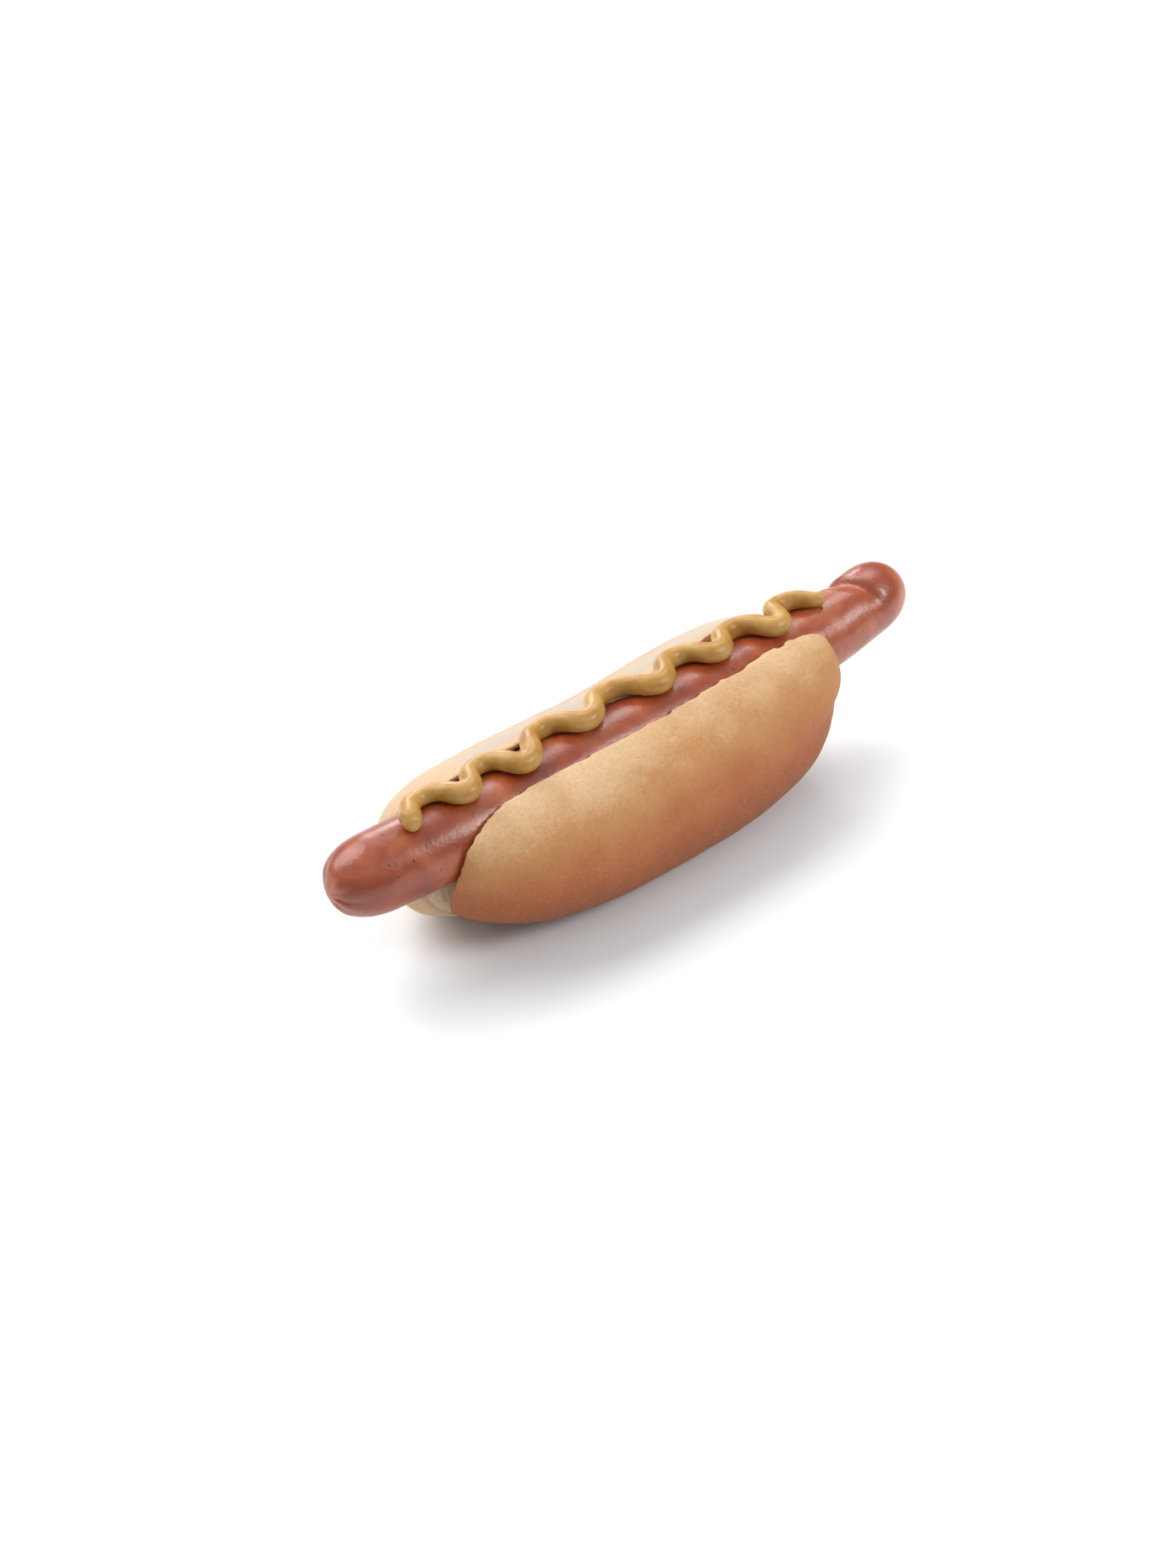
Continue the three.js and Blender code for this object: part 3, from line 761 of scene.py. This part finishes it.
class HOTDOG_OT_roll(bpy.types.Operator):
    """Make the slit roll with its soft crust and open crumb"""

    bl_idname = "hotdog.roll"
    bl_label = "Make Roll"

    AROUND = 160
    RINGS = 100
    SEAT_AROUND = 64
    SEAT_RINGS = 200
    RELAX_ROUNDS = 10
    # Height, lumps' size and seed of each layer of unevenness.
    CRUST_LAYERS = ((0.35 * MM, 18 * MM, 3), (0.1 * MM, 5 * MM, 5), (0.04 * MM, 1.6 * MM, 8))
    CRUMB_LAYERS = ((0.3 * MM, 3 * MM, 11), (0.22 * MM, 1.5 * MM, 13))
    CRUMB_DEPTH = 0.15 * MM  # the crumb's pores lie this much deeper than the cut
    INSET = 0.25 * MM  # keeps the uneven crust inside the roll's plain form

    def execute(self, context):
        sizes = context.scene.hot_dog_roll
        form = RollForm(sizes)
        whole = ball(self.AROUND, self.RINGS)
        for vert in whole.verts:
            vert.co = form.surface(vert.co.normalized())
        crust = BVHTree.FromBMesh(whole)
        piece = to_object(whole, "soft_roll")
        cut(piece, self.slit(sizes, context.scene.hot_dog_sausage))
        cut(piece, self.seat(context.scene.hot_dog_sausage))
        remesh(piece, sizes.voxel)
        relax(piece, self.RELAX_ROUNDS)
        depths = [crust.find_nearest(vert.co)[3] for vert in piece.data.vertices]
        store(piece, "depth", depths)
        push(piece, lambda vert: self.relief(vert.co, smooth(depths[vert.index] / CRUST_THICKNESS)))
        finish_piece(piece, "bun", crust_finish(sizes))
        return {"FINISHED"}

    def slit(self, sizes, sausage):
        """A prism along X: a narrow wedge under the sausage and a channel above its middle."""
        seat_z = sausage.middle_z
        far = (seat_z - SLIT_HINGE_Z) * math.tan(SLIT_FLARE_FAR)
        near = (seat_z - SLIT_HINGE_Z) * math.tan(SLIT_FLARE_NEAR)
        right = [(far, seat_z), (sizes.mouth_far, seat_z), (sizes.mouth_far, SLIT_TOP)]
        left = [(-sizes.mouth_near, SLIT_TOP), (-sizes.mouth_near, seat_z), (-near, seat_z)]
        bm = bmesh.new()
        start = sausage.left_tip
        outline = [bm.verts.new((start, y, z)) for y, z in [(SLIT_HINGE_Y, SLIT_HINGE_Z), *right, *left]]
        face = bm.faces.new(outline)
        made = bmesh.ops.extrude_face_region(bm, geom=[face])
        moved = [part for part in made["geom"] if isinstance(part, bmesh.types.BMVert)]
        bmesh.ops.translate(bm, verts=moved, vec=(sausage.right_tip - start, 0, 0))
        hinge = [edge for edge in bm.edges if all(vert.co.z <= SLIT_HINGE_Z for vert in edge.verts)]
        bmesh.ops.bevel(
            bm, geom=hinge, offset=SLIT_HINGE_RADIUS, segments=6, profile=0.5, affect="EDGES", material=-1
        )
        lengthwise = [edge for edge in bm.edges if edge.calc_length() > sizes.half_length]
        bmesh.ops.subdivide_edges(bm, edges=lengthwise, cuts=SLIT_CUTS)
        for vert in bm.verts:
            vert.co.y = self.wall(vert.co, seat_z)
        return to_object(bm, "slit")

    def wall(self, place, seat_z):
        """Where a point of the straight slit's wall really lies across the roll."""
        y = place.y
        past_hinge = y < 2 * SLIT_HINGE_Y
        if past_hinge:
            y = lerp(y, -GAPE_WALL, smooth((-place.x - GAPE_FROM) / GAPE_OVER))
        if place.z < seat_z:
            return y
        seed = NEAR_WAVE_SEED
        if y > 0:
            seed = FAR_WAVE_SEED
            y -= FAR_LIP * (1 - smooth((place.x - LIP_FROM) / LIP_OVER))
        return y + SLIT_WAVE * grain(Vector((place.x, 0, 0)), SLIT_WAVE_LENGTH, seed)

    def seat(self, sizes):
        """The sausage's plain form, a little larger."""
        form = SausageForm(sizes)
        bm = ball(self.SEAT_AROUND, self.SEAT_RINGS)
        for vert in bm.verts:
            vert.co = form.surface(vert.co.normalized(), CLEARANCE)[0]
        return to_object(bm, "seat")

    def relief(self, place, cut_share):
        """Soft waves and dimples on the crust, open pores on the cut faces."""
        crust = unevenness(place, self.CRUST_LAYERS)
        crumb = unevenness(place, self.CRUMB_LAYERS) - self.CRUMB_DEPTH
        return lerp(crust, crumb, cut_share) - self.INSET


class HOTDOG_OT_sausage(bpy.types.Operator):
    """Make the sausage with its tied tip and its crease"""

    bl_idname = "hotdog.sausage"
    bl_label = "Make Sausage"

    AROUND = 128
    RINGS = 380
    LAYERS = ((0.2 * MM, 22 * MM, 2), (0.06 * MM, 6 * MM, 4))  # height, lumps' size and seed
    INSET = 0.15 * MM

    def execute(self, context):
        sizes = context.scene.hot_dog_sausage
        form = SausageForm(sizes)
        bm = ball(self.AROUND, self.RINGS)
        places = []
        for vert in bm.verts:
            vert.co, distance, angle = form.surface(vert.co.normalized(), 0)
            places.append((distance, angle))
        piece = to_object(bm, "smoked_sausage")
        push(piece, lambda vert: self.relief(vert.co) - form.dent(*places[vert.index]))
        finish_piece(piece, "sausage", skin_finish(sizes))
        return {"FINISHED"}

    def relief(self, place):
        """Slight bulges of the filling and the finer unevenness of its skin."""
        return unevenness(place, self.LAYERS) - self.INSET


class HOTDOG_OT_mustard(bpy.types.Operator):
    """Pipe the mustard along the sausage"""

    bl_idname = "hotdog.mustard"
    bl_label = "Pipe Mustard"

    AROUND = 32
    RINGS = 900
    END_RINGS = 0.02  # share of the rings spent on each rounded end
    BLOB_CAP = 2.8 * MM
    TAIL_CAP = 1.6 * MM
    SQUARENESS = 2.2
    BEND_STEP = 0.4 * MM
    SUNK = 0.15 * MM  # how far the plain bead's underside reaches into the plain skin
    RELAX_ROUNDS = 8
    LAYERS = ((0.14 * MM, 6 * MM, 21), (0.05 * MM, 2 * MM, 23))  # height, lumps' size and seed
    INSET = 0.05 * MM

    def execute(self, context):
        sizes = context.scene.hot_dog_mustard
        form = MustardForm(sizes, SausageForm(context.scene.hot_dog_sausage))
        bm = ball(self.AROUND, self.RINGS)
        for vert in bm.verts:
            vert.co = self.surface(form, vert.co.normalized())
        piece = to_object(bm, "piped_mustard")
        remesh(piece, sizes.voxel)
        relax(piece, self.RELAX_ROUNDS)
        push(piece, lambda vert: self.relief(vert.co))
        finish_piece(piece, "mustard", mustard_finish(sizes))
        return {"FINISHED"}

    def surface(self, form, direction):
        """Where a direction from the middle of a ball with its poles on X meets the bead."""
        length = form.line.length
        share = math.acos(max(-1.0, min(1.0, -direction.x))) / math.pi
        distance = station(share, length, self.BLOB_CAP, self.TAIL_CAP, self.END_RINGS)
        caps = cap_share(distance, self.BLOB_CAP, self.SQUARENESS)
        caps *= cap_share(length - distance, self.TAIL_CAP, self.SQUARENESS)
        turn = form.line.value(distance)
        radius = form.bead_radius(turn)
        angle = math.atan2(direction.y, direction.z)
        sideways = -caps * radius * math.sin(angle)
        rise = caps * radius * math.cos(angle)
        if rise < 0:
            rise *= (form.height(turn) + self.SUNK) / radius
        normal = form.skin_normal(turn)
        tangent, across, upward = form.line.axes(distance, normal)
        bend = form.line.tangent(distance + self.BEND_STEP) - form.line.tangent(distance - self.BEND_STEP)
        inward = sideways * bend.dot(across) / (2 * self.BEND_STEP)
        if inward > INSIDE_LIMIT:
            sideways *= INSIDE_LIMIT / inward
        return form.line.point(distance) + across * sideways + upward * rise

    def relief(self, place):
        """The soft unevenness of the piping."""
        return unevenness(place, self.LAYERS) - self.INSET


class HOTDOG_OT_stage(bpy.types.Operator):
    """Set the floor, the lights and the camera"""

    bl_idname = "hotdog.stage"
    bl_label = "Set Stage"

    AZIMUTH = math.radians(-41.6)  # the camera's place round the roll, from the middle of the near side
    ELEVATION = math.radians(37)
    DISTANCE = 0.737
    LENS = 56.87
    SENSOR = 36
    TARGET = Vector((-2.45, 0, 30)) * MM
    SHIFT = (-0.0265, -0.0176)  # sideways and upright, as shares of the sensor's longer side
    KEY_ANGLE = math.radians(52)  # how wide the key light is, so how soft its shadow
    KEY_FROM = Vector((-0.34, 0.91, 1.0))
    LAMPS = (  # name, place, side of the square and power
        ("Top light", (0.48, 0.35, 0.8), 0.35, 2.0),
        ("Side light", (0.44, -0.66, 0.6), 0.35, 3.8),
        ("Back light", (0.38, 0.8, 0.42), 0.3, 2.4),
    )
    FLOOR_PARTS = 8
    FLOOR_CLOUDS = 400 * MM
    CLOUD_TONE = 0.985  # the floor's clouds have this share of its tone

    def execute(self, context):
        stage = context.scene.hot_dog_stage
        context.scene.view_settings.view_transform = "Standard"
        self.floor(stage)
        self.room(context.scene, stage)
        self.sun(stage.key_strength)
        for settings in self.LAMPS:
            self.lamp(*settings)
        self.camera(context.scene)
        return {"FINISHED"}

    def floor(self, stage):
        bm = bmesh.new()
        parts = self.FLOOR_PARTS
        bmesh.ops.create_grid(bm, x_segments=parts, y_segments=parts, size=stage.floor_size / 2)
        piece = to_object(bm, "floor")
        finish = Finish("Pale floor")
        tone = tuple(stage.floor_tone)
        shade = tuple(c * self.CLOUD_TONE for c in tone)
        clouds = finish.noise(self.FLOOR_CLOUDS)
        finish.set(Base_Color=finish.mix(clouds, tone, shade), Roughness=0.9)
        piece.data.materials.append(finish.material)

    def room(self, scene, stage):
        """Even white light all round, brighter from above."""
        world = bpy.data.worlds.new("Studio")
        world.use_nodes = True
        background = world.node_tree.nodes["Background"]
        background.inputs["Color"].default_value = (1, 1, 1, 1)
        nodes, links = world.node_tree.nodes, world.node_tree.links
        height = nodes.new("ShaderNodeSeparateXYZ")
        links.new(nodes.new("ShaderNodeTexCoord").outputs["Generated"], height.inputs[0])
        strength = nodes.new("ShaderNodeMapRange")
        strength.inputs["To Min"].default_value = stage.wall_strength
        strength.inputs["To Max"].default_value = stage.ceiling_strength
        links.new(height.outputs["Z"], strength.inputs["Value"])
        links.new(strength.outputs["Result"], background.inputs["Strength"])
        scene.world = world

    def sun(self, power):
        """The broad key light from behind the far lobe."""
        data = bpy.data.lights.new("Key light", "SUN")
        data.energy = power
        data.angle = self.KEY_ANGLE
        lamp = bpy.data.objects.new("Key light", data)
        lamp.rotation_euler = self.KEY_FROM.to_track_quat("Z", "Y").to_euler()
        bpy.context.scene.collection.objects.link(lamp)

    def lamp(self, name, place, side, power):
        """A square area light at this place, facing the roll."""
        data = bpy.data.lights.new(name, "AREA")
        data.size = side
        data.energy = power
        lamp = bpy.data.objects.new(name, data)
        lamp.location = place
        lamp.rotation_euler = (self.TARGET - lamp.location).to_track_quat("-Z", "Y").to_euler()
        bpy.context.scene.collection.objects.link(lamp)

    def camera(self, scene):
        a, e = self.AZIMUTH, self.ELEVATION
        back = Vector((math.sin(a) * math.cos(e), -math.cos(a) * math.cos(e), math.sin(e)))
        data = bpy.data.cameras.new("Camera")
        data.lens = self.LENS
        data.sensor_width = self.SENSOR
        data.shift_x, data.shift_y = self.SHIFT
        camera = bpy.data.objects.new("Camera", data)
        camera.location = self.TARGET + back * self.DISTANCE
        camera.rotation_euler = back.to_track_quat("Z", "Y").to_euler()
        scene.collection.objects.link(camera)
        scene.camera = camera


class HOTDOG_PT_panel(bpy.types.Panel):
    """The settings and the steps, in the order in which they are made"""

    bl_label = "Hot Dog"
    bl_idname = "HOTDOG_PT_panel"
    bl_space_type = "VIEW_3D"
    bl_region_type = "UI"
    bl_category = "Hot Dog"

    def draw(self, context):
        for name, operator in STEPS:
            settings = getattr(context.scene, name)
            box = self.layout.box()
            for key in settings.__annotations__:
                box.prop(settings, key)
            box.operator(operator)


STEPS = (
    ("hot_dog_roll", HOTDOG_OT_roll.bl_idname),
    ("hot_dog_sausage", HOTDOG_OT_sausage.bl_idname),
    ("hot_dog_mustard", HOTDOG_OT_mustard.bl_idname),
    ("hot_dog_stage", HOTDOG_OT_stage.bl_idname),
)
SETTINGS = (RollSettings, SausageSettings, MustardSettings, StageSettings)
CLASSES = (
    *SETTINGS,
    HOTDOG_OT_roll,
    HOTDOG_OT_sausage,
    HOTDOG_OT_mustard,
    HOTDOG_OT_stage,
    HOTDOG_PT_panel,
)


def register():
    for made in CLASSES:
        bpy.utils.register_class(made)
    for (name, _), settings in zip(STEPS, SETTINGS):
        setattr(bpy.types.Scene, name, PointerProperty(type=settings))


def unregister():
    for name, _ in STEPS:
        delattr(bpy.types.Scene, name)
    for made in reversed(CLASSES):
        bpy.utils.unregister_class(made)


def main():
    register()
    bpy.ops.hotdog.roll()
    bpy.ops.hotdog.sausage()
    bpy.ops.hotdog.mustard()
    bpy.ops.hotdog.stage()


if __name__ == "__main__":
    main()
